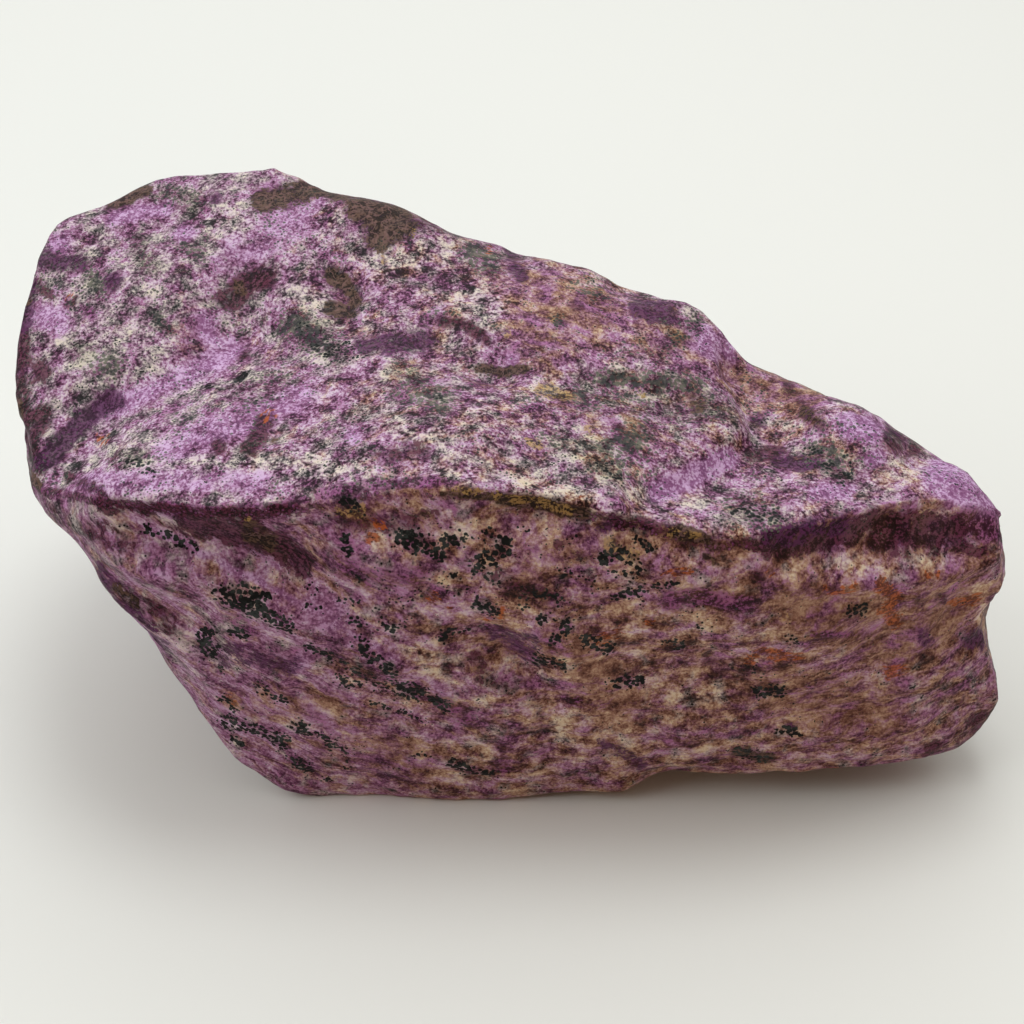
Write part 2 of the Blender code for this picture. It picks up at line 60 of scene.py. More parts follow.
# Where each marking lies on the faces that the camera sees. A stroke is its reach, its strength and the
# points of its line. The reach and the points are in pixels of the camera's picture.
MARKS = {
    # Deep violet, partly painted shade on facets turned away from the light.
    "violet": (
        (9, 0.7, (32, 285), (24, 325)),
        (10, 0.8, (66, 440), (92, 418), (118, 402)),
        (13, 1.0, (107, 398), (80, 420), (58, 445), (45, 462)),
        (12, 0.8, (45, 262), (80, 262)),
        (12, 0.9, (112, 282)),
        (9, 0.8, (216, 199)),
        (15, 0.8, (368, 345), (400, 341), (428, 340)),
        (10, 0.7, (505, 232), (519, 275)),
        (14, 0.8, (640, 308), (668, 314)),
        (13, 0.8, (893, 432)),
        (10, 0.8, (758, 420)),
        (12, 0.8, (780, 462), (812, 462)),
        (14, 0.6, (770, 538), (800, 532), (840, 520)),
        (16, 0.8, (975, 640)),
        (12, 0.6, (925, 640)),
        (16, 0.6, (200, 650), (290, 662)),
        (15, 0.6, (495, 635), (530, 645)),
        (9, 0.7, (600, 528), (615, 520)),
        (12, 0.7, (98, 572), (130, 610), (165, 655)),
        (9, 0.7, (640, 761), (600, 744)),
        (9, 0.6, (790, 727)),
        (8, 0.6, (452, 544)),
    ),
    # Maroon to brown, partly painted shade under the overhanging ridge and on stepped facets at the left end.
    "maroon": (
        (13, 0.5, (335, 520), (380, 522), (430, 518)),
        (12, 0.45, (470, 560), (520, 585), (550, 600)),
        (9, 0.5, (560, 545), (590, 560)),
        (11, 0.8, (21, 335), (20, 380), (28, 430), (42, 468)),
        (9, 0.7, (70, 478), (100, 492)),
        (17, 0.9, (228, 300), (244, 284), (262, 277)),
        (16, 0.8, (40, 372)),
        (13, 0.8, (45, 412), (30, 440)),
        (10, 0.8, (245, 355)),
        (12, 0.9, (218, 447)),
        (13, 0.8, (265, 422), (250, 448)),
        (9, 0.7, (36, 285), (52, 292)),
        (9, 0.7, (72, 303)),
        (7, 0.8, (440, 320), (465, 325), (488, 341)),
        (14, 0.5, (425, 222), (455, 228)),
        (10, 0.7, (577, 306)),
        (10, 0.6, (788, 386), (808, 416)),
        (14, 0.7, (893, 440), (912, 448)),
        (10, 0.7, (750, 453), (785, 455)),
        (20, 1.0, (775, 543), (815, 540), (850, 532)),
        (27, 1.0, (880, 530), (910, 530), (945, 534)),
        (10, 0.6, (965, 550), (985, 550)),
        (18, 1.0, (185, 520), (245, 534), (285, 548), (305, 562)),
        (16, 0.6, (95, 528), (125, 545)),
        (14, 0.6, (145, 606), (165, 625)),
        (8, 0.8, (100, 508), (160, 510), (230, 515), (295, 508)),
        (13, 0.8, (478, 662)),
        (7, 0.5, (478, 680), (515, 690)),
        (7, 0.4, (530, 698), (546, 726)),
        (8, 0.8, (735, 543), (765, 544)),
        (10, 0.7, (709, 658)),
        (9, 0.8, (760, 577)),
        (9, 0.7, (940, 597)),
        (14, 0.6, (930, 750), (960, 738), (982, 715)),
        (14, 0.5, (380, 455), (420, 452)),
        (12, 0.5, (180, 690), (195, 720)),
        (8, 0.7, (614, 524), (640, 524), (670, 530)),
        (9, 0.5, (430, 596)),
    ),
    # Magenta, strongest along the ridge.
    "magenta": (
        (12, 0.8, (92, 312)),
        (8, 0.7, (205, 238)),
        (9, 0.8, (426, 318)),
        (7, 0.9, (95, 502), (150, 506), (215, 510), (270, 507), (305, 500)),
        (7, 0.9, (320, 494), (360, 486), (410, 483), (455, 484)),
        (20, 1.0, (965, 524), (992, 528)),
        (13, 0.7, (670, 600), (705, 598), (748, 606)),
        (8, 0.7, (578, 700)),
        (10, 0.6, (505, 767)),
        (7, 0.7, (652, 620)),
        (5, 0.7, (812, 635), (872, 635)),
        (12, 0.5, (225, 600), (250, 640)),
        (14, 0.5, (330, 560), (370, 580), (420, 575)),
        (12, 0.5, (440, 700), (470, 715)),
        (8, 0.5, (455, 545)),
    ),
    # Bright lilac, partly a painted highlight on the top of the right end and along the ridge near the left
    # end.
    "lilac": (
        (24, 1.2, (945, 478), (968, 488), (990, 498)),
        (14, 0.9, (655, 494), (695, 476), (728, 460)),
        (13, 0.7, (815, 495), (845, 490)),
        (18, 0.7, (42, 315), (60, 322)),
        (17, 0.8, (60, 245)),
        (11, 0.8, (115, 217), (140, 212), (165, 210)),
        (13, 0.9, (186, 231)),
        (13, 0.8, (205, 322), (212, 340)),
        (15, 0.7, (100, 412), (140, 395), (190, 375), (232, 350)),
        (9, 0.6, (320, 204)),
        (11, 0.6, (270, 190)),
        (14, 0.6, (352, 436)),
        (22, 0.6, (705, 340), (722, 350)),
        (17, 1.0, (850, 425), (870, 430)),
        (13, 0.8, (875, 458)),
        (15, 1.0, (940, 484), (968, 490)),
        (12, 1.0, (655, 490), (690, 475), (722, 462)),
        (10, 0.7, (510, 360)),
        (16, 0.6, (85, 484), (200, 480), (260, 482)),
        (20, 0.6, (170, 450), (240, 420), (300, 400)),
        (22, 0.5, (320, 610), (345, 630)),
        (16, 0.5, (300, 660)),
        (14, 0.4, (160, 575)),
        (14, 0.4, (440, 690)),
        (10, 0.5, (560, 710)),
        (26, 0.5, (300, 215), (230, 260)),
        (5, 0.6, (131, 519), (215, 560), (300, 602), (400, 660)),
        (4, 0.6, (150, 508), (230, 536), (280, 566)),
    ),
    # Cream and white flecks.
    "cream": (
        (26, 0.6, (236, 222), (215, 235)),
        (18, 0.6, (75, 345), (105, 350)),
        (14, 0.6, (160, 298)),
        (9, 1.0, (335, 222)),
        (8, 0.9, (318, 236)),
        (9, 0.8, (352, 252)),
        (24, 0.7, (300, 300), (330, 335)),
        (24, 0.8, (380, 260), (412, 255), (438, 248)),
        (24, 0.9, (470, 295), (490, 310)),
        (13, 0.8, (443, 343)),
        (7, 1.0, (385, 376)),
        (8, 0.9, (413, 371)),
        (14, 0.8, (530, 393), (560, 390)),
        (7, 0.9, (625, 395), (655, 392), (672, 390)),
        (20, 0.6, (400, 430), (440, 440)),
        (12, 0.8, (245, 372)),
        (17, 0.8, (180, 465), (225, 470), (270, 462), (320, 466), (355, 478)),
        (5, 0.9, (80, 470), (110, 468)),
        (7, 0.8, (85, 484), (135, 488), (180, 490)),
        (10, 0.9, (445, 474), (470, 472)),
        (15, 1.0, (520, 486), (560, 494), (590, 504)),
        (13, 0.8, (640, 496), (700, 506)),
        (18, 0.5, (905, 470)),
        (14, 0.9, (562, 716), (560, 735)),
        (20, 0.6, (415, 655), (445, 665)),
        (12, 0.6, (540, 670), (570, 665)),
        (14, 0.6, (680, 700), (720, 690)),
        (14, 0.6, (790, 570), (860, 566), (930, 560)),
        (12, 0.7, (975, 590), (985, 625)),
        (8, 0.6, (785, 615)),
        (20, 0.4, (500, 560)),
        (26, 0.7, (580, 440), (610, 465)),
        (24, 0.5, (480, 420)),
    ),
    # Dull rose to tan, smooth.
    "rose": (
        (26, 0.7, (505, 285), (570, 305), (640, 335), (690, 350)),
        (14, 0.5, (560, 405), (620, 425)),
        (42, 1.0, (550, 295), (600, 318), (540, 330)),
        (26, 0.7, (195, 335)),
        (24, 1.0, (735, 370), (765, 393), (805, 402)),
        (30, 0.5, (640, 440)),
        (40, 0.7, (800, 600), (900, 640), (960, 600)),
        (40, 0.6, (780, 690), (880, 720)),
        (30, 0.6, (560, 640), (620, 700)),
        (26, 0.5, (540, 560)),
        (18, 0.6, (230, 704), (330, 706)),
        (24, 0.5, (330, 740), (420, 760)),
    ),
    # Olive-brown, with fine pale veins.
    "olive": (
        (20, 1.0, (360, 206), (388, 216), (402, 228), (378, 236)),
        (15, 0.9, (262, 200), (290, 196), (320, 186), (350, 192)),
        (8, 0.9, (112, 204), (128, 197), (146, 190)),
        (9, 1.0, (238, 287)),
        (10, 1.0, (330, 275), (346, 284), (358, 300)),
        (10, 0.9, (352, 312), (330, 308)),
        (7, 0.9, (27, 298)),
        (6, 0.9, (18, 400), (17, 430), (24, 462), (38, 487)),
        (5, 0.8, (182, 351)),
        (8, 0.9, (480, 368), (505, 372), (525, 369)),
        (9, 1.0, (502, 499), (535, 502), (565, 508), (584, 514)),
        (4, 0.9, (440, 497), (470, 495), (497, 497)),
        (10, 1.0, (680, 531), (705, 539)),
        (5, 0.9, (704, 556), (716, 564)),
        (12, 0.8, (250, 532), (268, 540)),
        (8, 0.8, (116, 588), (138, 603)),
        (10, 0.6, (800, 414), (818, 424)),
        (16, 0.5, (700, 404)),
        (10, 0.6, (170, 690), (180, 706)),
        (8, 0.7, (735, 754), (770, 756)),
        (7, 0.6, (275, 440)),
        (8, 0.5, (600, 524)),
    ),
    # Grey-green flecks, dense and fine.
    "green": (
        (24, 0.55, (585, 398), (640, 405), (695, 415)),
        (16, 0.5, (560, 440), (600, 455)),
        (12, 0.6, (830, 455), (880, 465)),
        (17, 0.9, (165, 200), (192, 202)),
        (14, 0.9, (140, 246), (152, 268)),
        (12, 0.9, (185, 246), (196, 252)),
        (9, 0.8, (90, 268), (104, 294)),
        (8, 0.9, (160, 316), (168, 332)),
        (18, 0.7, (80, 352), (110, 366)),
        (26, 0.8, (300, 330), (330, 340)),
        (18, 0.9, (470, 255), (490, 265)),
        (10, 0.9, (557, 320)),
        (8, 0.9, (413, 371)),
        (13, 1.0, (600, 378), (645, 380), (695, 386)),
        (20, 1.0, (700, 404), (720, 412)),
        (20, 0.7, (640, 430), (600, 450)),
        (18, 1.0, (600, 462), (615, 470)),
        (22, 0.9, (740, 508), (768, 512)),
        (22, 1.0, (820, 458), (845, 470)),
        (12, 0.8, (115, 460), (140, 458)),
        (22, 0.6, (400, 380), (440, 400)),
        (16, 0.8, (690, 330), (670, 345)),
        (8, 0.8, (848, 612), (864, 608)),
        (8, 0.8, (765, 691), (778, 688)),
        (8, 0.6, (735, 606)),
        (20, 0.5, (250, 400), (280, 380)),
    ),
    # Rust orange.
    "rust": (
        (5, 0.7, (372, 520), (385, 524)),
        (4, 0.7, (450, 610)),
        (5, 0.6, (660, 575), (690, 570)),
        (5, 0.7, (770, 660), (800, 655)),
        (7, 0.7, (74, 300)),
        (8, 0.6, (105, 438)),
        (9, 0.8, (372, 538)),
        (7, 0.8, (436, 599)),
        (6, 0.9, (502, 613)),
        (5, 0.6, (486, 617)),
        (9, 1.0, (880, 584), (898, 598), (886, 612), (896, 622)),
        (5, 0.8, (828, 590), (855, 588)),
        (5, 0.7, (925, 575), (937, 574)),
        (8, 0.9, (890, 674), (902, 670)),
        (7, 0.7, (953, 602), (976, 600)),
        (5, 1.0, (751, 660), (762, 650), (784, 654)),
        (7, 0.7, (648, 622)),
        (8, 0.5, (600, 640), (620, 632)),
        (5, 0.6, (585, 498)),
        (7, 0.5, (770, 575)),
        (8, 0.4, (230, 700)),
        (6, 0.6, (488, 250)),
        (8, 0.5, (270, 415)),
    ),
    # Gold to yellow.
    "gold": (
        (6, 0.8, (500, 496), (535, 500), (572, 509)),
        (5, 0.7, (455, 490), (480, 491)),
        (5, 0.7, (668, 530), (700, 537)),
        (10, 0.9, (342, 512), (360, 508)),
        (12, 0.8, (612, 548), (630, 556)),
        (5, 0.9, (386, 262)),
        (7, 0.7, (413, 230)),
        (6, 0.8, (507, 334)),
        (5, 0.7, (548, 320)),
        (7, 0.9, (530, 442), (540, 447)),
        (9, 0.7, (542, 388), (565, 395)),
        (7, 0.6, (640, 392)),
        (7, 0.6, (540, 502), (560, 506)),
        (5, 0.7, (628, 785)),
        (7, 0.6, (787, 615)),
        (4, 0.8, (249, 520)),
        (8, 0.5, (590, 430)),
        (6, 0.5, (700, 548)),
    ),
    # Black specks, ragged and in clusters.
    "speck": (
        (11, 1.5, (207, 632), (208, 650)),
        (9, 0.7, (330, 655), (362, 678), (398, 690)),
        (8, 0.6, (440, 520), (475, 540), (500, 528)),
        (8, 0.6, (560, 570), (600, 590), (640, 600)),
        (8, 0.6, (350, 620), (380, 630), (410, 625)),
        (6, 1.0, (143, 528), (153, 533)),
        (9, 1.0, (165, 532), (178, 541), (192, 547)),
        (10, 1.3, (204, 632), (212, 650)),
        (7, 0.9, (222, 668)),
        (12, 1.0, (222, 594), (245, 605), (268, 616), (288, 626)),
        (9, 0.8, (240, 588), (268, 598)),
        (6, 1.0, (232, 632), (246, 638)),
        (7, 1.0, (308, 646), (325, 655)),
        (6, 0.8, (308, 606), (320, 612)),
        (5, 0.8, (338, 600), (358, 602)),
        (9, 1.1, (358, 642), (378, 660), (392, 672)),
        (10, 1.1, (402, 685), (425, 696), (446, 708)),
        (8, 1.0, (338, 676), (358, 682)),
        (6, 0.7, (372, 692)),
        (5, 0.8, (368, 704), (386, 707)),
        (5, 0.9, (398, 709), (422, 724)),
        (9, 0.7, (258, 688), (280, 698)),
        (7, 0.9, (222, 698), (232, 710)),
        (8, 1.1, (222, 722), (255, 728), (285, 738)),
        (9, 1.1, (298, 726), (310, 732)),
        (6, 1.0, (276, 745), (288, 749)),
        (5, 0.8, (230, 738), (242, 743)),
        (7, 0.9, (324, 736), (332, 748)),
        (7, 1.0, (290, 762), (310, 768)),
        (5, 0.9, (322, 779), (332, 782)),
        (5, 0.8, (343, 750), (348, 768)),
        (5, 0.8, (416, 754), (427, 757)),
        (6, 1.1, (452, 764), (472, 768), (495, 774)),
        (8, 1.1, (346, 538), (348, 552)),
        (13, 1.1, (400, 540), (425, 545), (438, 552)),
        (7, 0.9, (455, 541)),
        (5, 0.9, (352, 577), (362, 580)),
        (7, 0.8, (310, 584), (318, 592)),
        (7, 0.9, (380, 622), (392, 626)),
        (4, 0.9, (411, 631)),
        (7, 0.9, (450, 634), (468, 628)),
        (8, 0.9, (345, 500), (362, 512)),
        (13, 1.1, (480, 562), (495, 556), (506, 546)),
        (9, 0.9, (444, 545), (458, 540)),
        (6, 0.9, (518, 530), (530, 534)),
        (8, 0.9, (560, 546), (574, 540)),
        (13, 1.0, (606, 560), (622, 552), (634, 566)),
        (7, 0.9, (640, 540), (652, 550)),
        (5, 1.0, (610, 572), (626, 574)),
        (7, 0.9, (534, 594), (562, 600)),
        (9, 1.0, (476, 602), (494, 612)),
        (6, 0.8, (516, 600), (528, 606)),
        (6, 1.1, (540, 620)),
        (6, 0.9, (618, 600), (645, 590), (676, 583)),
        (8, 0.9, (552, 640), (566, 630)),
        (8, 1.1, (584, 640), (608, 648)),
        (9, 0.8, (538, 656), (560, 664)),
        (8, 1.1, (612, 684), (640, 682)),
        (7, 0.8, (664, 642), (682, 646)),
        (7, 0.9, (442, 636), (464, 628)),
        (5, 0.9, (678, 558)),
        (6, 0.9, (846, 612), (866, 608)),
        (8, 1.0, (762, 692), (778, 692)),
        (6, 1.0, (780, 730), (800, 732)),
        (6, 0.8, (862, 767)),
        (8, 0.9, (735, 753), (768, 757)),
        (5, 0.7, (790, 638), (800, 640)),
        (7, 0.5, (880, 500)),
        (6, 0.9, (246, 372), (236, 384)),
        (5, 1.0, (208, 387)),
        (5, 0.8, (216, 349)),
        (7, 0.7, (115, 460), (150, 470)),
        (16, 0.55, (740, 508), (768, 512)),
        (18, 0.5, (820, 458), (845, 470)),
        (16, 0.45, (600, 462), (620, 472)),
        (16, 0.4, (680, 345), (700, 335)),
        (22, 0.35, (390, 590), (470, 580), (560, 610)),
        (20, 0.3, (700, 620), (760, 680)),
        (18, 0.4, (300, 330), (350, 350)),
    ),
}
# The faces that the camera doesn't see are marked in patches: their size across in millimetres, and how
# freely each marking spreads there. A higher number takes more of the ground. Below 0 the marking is rare.
PATCH_SIZE = 9.0
HIDDEN_SHARES = {
    "violet": 0.12,
    "maroon": 0.12,
    "magenta": 0.08,
    "lilac": 0.10,
    "cream": 0.16,
    "rose": 0.16,
    "olive": 0.02,
    "green": 0.16,
    "rust": -0.10,
    "gold": -0.15,
    "speck": 0.24,
}


class Number:
    """A number that varies over the surface. Sums, products and the like of such numbers add Math nodes."""

    def __init__(self, paint, socket):
        self.paint = paint
        self.socket = socket

    def maths(self, operation, first, second):
        made = self.paint.node("ShaderNodeMath", {"operation": operation}, {0: first, 1: second})
        return Number(self.paint, made.outputs[0])

    def __add__(self, other):
        return self.maths("ADD", self, other)

    def __radd__(self, other):
        return self.maths("ADD", other, self)

    def __sub__(self, other):
        return self.maths("SUBTRACT", self, other)

    def __rsub__(self, other):
        return self.maths("SUBTRACT", other, self)

    def __mul__(self, other):
        return self.maths("MULTIPLY", self, other)

    def __rmul__(self, other):
        return self.maths("MULTIPLY", other, self)

    def __truediv__(self, other):
        return self.maths("DIVIDE", self, other)

    def at_most(self, other):
        return self.maths("MINIMUM", self, other)

    def between(self, low, high):
        """0 at low and beyond, 1 at high and beyond, and smooth between. Low may be the larger number."""
        values = {0: self, 1: low, 2: high, 3: 0.0, 4: 1.0}
        made = self.paint.node("ShaderNodeMapRange", {"interpolation_type": "SMOOTHSTEP"}, values)
        return Number(self.paint, made.outputs[0])


def set_stops(ramp, stops):
    while len(ramp.elements) < len(stops):
        ramp.elements.new(1.0)
    for element, (place, colour) in zip(ramp.elements, stops):
        element.position = place
        element.color = (*colour, 1.0)


class Paint:
    """The nodes of one material."""

    def __init__(self, name):
        self.material = bpy.data.materials.new(name)
        self.material.use_nodes = True
        self.nodes = self.material.node_tree.nodes
        self.shader = self.nodes["Principled BSDF"]

    def node(self, kind, settings, values):
        made = self.nodes.new(kind)
        for name, value in settings.items():
            if name == "stops":
                set_stops(made.color_ramp, value)
            else:
                setattr(made, name, value)
        self.feed(made, values)
        return made

    def feed(self, made, values):
        for name, value in values.items():
            socket = value.socket if isinstance(value, Number) else value
            if isinstance(socket, bpy.types.NodeSocket):
                self.material.node_tree.links.new(socket, made.inputs[name])
            else:
                made.inputs[name].default_value = socket

    def vector(self, operation, first, second):
        made = self.node("ShaderNodeVectorMath", {"operation": operation}, {0: first, 1: second})
        return made.outputs[0]

    def parts(self, vector):
        made = self.node("ShaderNodeSeparateXYZ", {}, {0: vector})
        return [Number(self, socket) for socket in made.outputs]

    def joined(self, x, y, z):
        return self.node("ShaderNodeCombineXYZ", {}, {0: x, 1: y, 2: z}).outputs[0]

    def noise(self, vector, scale, detail, roughness):
        values = {"Vector": vector, "Scale": scale, "Detail": detail, "Roughness": roughness}
        return self.node("ShaderNodeTexNoise", {}, values)

    def noise_number(self, vector, scale, detail, roughness):
        return Number(self, self.noise(vector, scale, detail, roughness).outputs["Fac"])

    def cell_distance(self, vector):
        """How far a point is from the middle of its grain, for grains about 1 apart."""
        made = self.node("ShaderNodeTexVoronoi", {}, {"Vector": vector, "Scale": 1.0})
        return Number(self, made.outputs["Distance"])

    def attribute(self, name):
        made = self.node("ShaderNodeAttribute", {"attribute_name": name}, {})
        return Number(self, made.outputs["Fac"])

    def ramp(self, number, stops):
        return self.node("ShaderNodeValToRGB", {"stops": stops}, {0: number}).outputs[0]

    def mix(self, share, first, second):
        settings = {"data_type": "RGBA", "clamp_factor": True}
        return self.node("ShaderNodeMix", settings, {0: share, 6: first, 7: second}).outputs[2]


def smooth_step(value):
    value = np.clip(value, 0.0, 1.0)
    return value * value * (3 - 2 * value)


# The stone's mesh: the solid's faces made finer, then its fine relief. Points nearer than the first number,
# in mm, are welded, triangles are joined to four-sided faces within two angles, and sharp edges are creased.
WELD = 0.01
JOIN_ANGLE = math.radians(50.0)
JOIN_SHAPE = math.radians(60.0)
CREASE_FROM = math.radians(34.0)
CREASE = 0.55
FINER = 2


def finer_mesh():
    """The solid's mesh, welded, back in four-sided faces and subdivided."""
    bm = bmesh.new()
    bm.from_mesh(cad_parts["stone"].data)
    bmesh.ops.remove_doubles(bm, verts=bm.verts[:], dist=WELD * MM)
    bmesh.ops.join_triangles(
        bm, faces=bm.faces[:], angle_face_threshold=JOIN_ANGLE, angle_shape_threshold=JOIN_SHAPE
    )
    crease = bm.edges.layers.float.new("crease_edge")
    for edge in bm.edges:
        if edge.calc_face_angle(0.0) > CREASE_FROM:
            edge[crease] = CREASE
    coarse = bpy.data.meshes.new("coarse stone")
    bm.to_mesh(coarse)
    bm.free()
    maker = bpy.data.objects.new("coarse stone", coarse)
    bpy.context.scene.collection.objects.link(maker)
    finer = maker.modifiers.new("finer", "SUBSURF")
    finer.levels = FINER
    finer.render_levels = FINER
    graph = bpy.context.evaluated_depsgraph_get()
    mesh = bpy.data.meshes.new_from_object(maker.evaluated_get(graph))
    bpy.data.objects.remove(maker)
    bpy.data.meshes.remove(coarse)
    mesh.name = "rough_stone"
    for layer in list(mesh.attributes):
        if layer.name == "crease_edge":
            mesh.attributes.remove(layer)
    return mesh


def positions(mesh):
    """Every point of the mesh, in mm."""
    points = np.empty(len(mesh.vertices) * 3)
    mesh.vertices.foreach_get("co", points)
    return points.reshape(-1, 3) / MM


def normals(mesh):
    found = np.empty(len(mesh.vertices) * 3)
    mesh.vertex_normals.foreach_get("vector", found)
    return found.reshape(-1, 3)


def in_picture(points, facing):
    """Where points fall in the camera's picture, in pixels, and how squarely they face the camera."""
    back = np.array((0.0, -math.cos(CAMERA_HEIGHT), math.sin(CAMERA_HEIGHT)))
    up = np.array((0.0, math.sin(CAMERA_HEIGHT), math.cos(CAMERA_HEIGHT)))
    offset = points - np.array(TARGET)
    depth = CAMERA_DISTANCE - offset @ back
    pixels = LENS / SENSOR * PICTURE
    across = PICTURE / 2 + pixels * offset[:, 0] / depth
    down = PICTURE / 2 - pixels * (offset @ up) / depth
    to_camera = np.array(TARGET) + back * CAMERA_DISTANCE - points
    to_camera /= np.linalg.norm(to_camera, axis=1, keepdims=True)
    return across, down, (facing * to_camera).sum(axis=1)


def noise_at(points, size, seed=0.0):
    """Noise from about -1 to 1 at every point, in swells of this size in mm, or of one size per axis."""
    scaled = points / np.array(size) + seed
    return np.array([noise.noise(Vector(point)) for point in scaled])


# The layers lie level to the right of this x in mm, bend down to the left of it, and lean away from the
# front.
LAYERS_LEVEL_FROM = 10.0
LAYERS_BEND = 0.0065
LAYERS_LEAN = 0.6


def foliation(points):
    """The layering of the stone: a number in mm that is the same all over one layer."""
    left = np.minimum(points[:, 0] - LAYERS_LEVEL_FROM, 0.0)
    return points[:, 2] - LAYERS_BEND * left**2 - LAYERS_LEAN * points[:, 1]


def distance_to_line(across, down, line):
    """How far every picture point is from a line of points, in pixels."""
    nearest = np.full(len(across), np.inf)
    line = list(line)
    for (x0, y0), (x1, y1) in zip(line, line[1:] or line):
        length = max((x1 - x0) ** 2 + (y1 - y0) ** 2, 1e-9)
        along = np.clip(((across - x0) * (x1 - x0) + (down - y0) * (y1 - y0)) / length, 0.0, 1.0)
        away = np.hypot(across - x0 - along * (x1 - x0), down - y0 - along * (y1 - y0))
        nearest = np.minimum(nearest, away)
    return nearest


# The fine relief: how high its forms stand and how large they are, both in mm. The streaks have a size along
# x, along y and across the layers.
STREAK_HEIGHT = 0.20
STREAK_SIZE = (9.0, 9.0, 1.5)
FINE_STREAK_HEIGHT = 0.09
FINE_STREAK_SIZE = (4.0, 4.0, 0.8)
LUMP_HEIGHT = 0.16
LUMP_SIZE = 2.6
CRUMB_HEIGHT = 0.10
CRUMB_SIZE = 1.3
RIDGE_CRUMB_HEIGHT = 0.34
RIDGE_CRUMB_SIZE = 2.1
LAYER_WANDER = 1.2
LAYER_WANDER_SIZE = 7.0
# The streaks stand at this share of their height, and higher by the second share on the right of the front,
# which starts and is full at these picture points across.
STREAKS_LEAST = 0.5
STREAKS_MORE = 0.7
RIGHT_FROM = 640
RIGHT_FULL = 800
# The picture points over which the front takes over below the ridge, and how far the ridge's crumbs reach.
FRONT_EDGE = 8
RIDGE_REACH = 16


def relief(points, facing):
    """How far the fine relief stands at every point, in mm."""
    across, down, seen = in_picture(points, facing)
    ridge_height = np.interp(across, *zip(*RIDGE))
    below = smooth_step((down - ridge_height) / FRONT_EDGE + 0.5)
    near_ridge = smooth_step(1 - np.abs(down - ridge_height) / RIDGE_REACH) * (seen > 0)
    layers = foliation(points + LAYER_WANDER * noise_at(points, LAYER_WANDER_SIZE)[:, None])
    layered = np.column_stack((points[:, 0], points[:, 1], layers))
    right = smooth_step((across - RIGHT_FROM) / (RIGHT_FULL - RIGHT_FROM))
    streaks = STREAKS_LEAST + STREAKS_MORE * right * below
    lift = STREAK_HEIGHT * noise_at(layered, STREAK_SIZE) * streaks
    lift += FINE_STREAK_HEIGHT * noise_at(layered, FINE_STREAK_SIZE, seed=5.0) * below
    lift += LUMP_HEIGHT * noise_at(points, LUMP_SIZE, seed=9.0)
    lift += CRUMB_HEIGHT * noise_at(points, CRUMB_SIZE, seed=17.0)
    lift += RIDGE_CRUMB_HEIGHT * near_ridge * noise_at(points, RIDGE_CRUMB_SIZE, seed=23.0)
    return lift


# The middle of the dark rim, painted shade under the overhanging ridge in dark maroon with maroon and magenta
# grains, this many picture points under the ridge, and how strong it is along the ridge.
RIM_BELOW = 7.0
RIM = ((0, 0.5), (60, 1.0), (300, 1.0), (330, 0.6), (490, 0.6), (520, 1.0), (730, 1.0), (770, 0.0))
# The rim is gone at this many times that distance from its middle, and wanders in swells of this size in mm.
RIM_FADE = 1.4
RIM_WANDER = 4.0
RIM_WANDER_SIZE = 0.9
# The line between the upper face and the front wanders too. It is this many picture points wide where it is
# seen. Elsewhere a face is fully an upper one where it looks up by this part of upright.
UPPER_WANDER = 2.5
UPPER_WANDER_SIZE = 1.6
UPPER_EDGE = 5
UPPER_SLOPE = 0.4
# A stroke is gone at this many times its reach. Its edge wanders by this many picture points.
STROKE_FADE = 1.25
STROKE_WANDER = 4.0
STROKE_WANDER_SIZE = 2.5
# A patch on the hidden faces starts at this height of its noise, and takes as much again to be full. Finer
# noise of a third of the size breaks up its edge.
PATCH_FROM = 0.35
PATCH_EDGE = 0.35
FINER_PATCHES = 0.4
# Faces that look at the camera this squarely or more have only the strokes.
SEEN_FULLY = 0.2


def share_seen(seen):
    """1 on the faces that the camera sees well, 0 on those that it doesn't see."""
    return smooth_step(seen / SEEN_FULLY)


def marking(kind, index, points, facing):
    """How strongly one marking lies at every point: 0 where there is none, about 1 where it is full."""
    across, down, seen = in_picture(points, facing)
    across = across + STROKE_WANDER * noise_at(points, STROKE_WANDER_SIZE, seed=41.0)
    down = down + STROKE_WANDER * noise_at(points, STROKE_WANDER_SIZE, seed=57.0)
    placed = np.zeros(len(points))
    for reach, strength, *line in MARKS[kind]:
        away = distance_to_line(across, down, line)
        placed = np.maximum(placed, strength * smooth_step(STROKE_FADE - away / reach))
    patches = noise_at(points, PATCH_SIZE, seed=71.0 + 13.0 * index)
    patches += FINER_PATCHES * noise_at(points, PATCH_SIZE / 3, seed=5.0 * index)
    scattered = smooth_step((patches + HIDDEN_SHARES[kind] - PATCH_FROM) / PATCH_EDGE)
    shown = share_seen(seen)
    return shown * placed + (1 - shown) * scattered


def store(mesh, name, values):
    layer = mesh.attributes.new(name, "FLOAT", "POINT")
    layer.data.foreach_set("value", values.astype(np.float32))


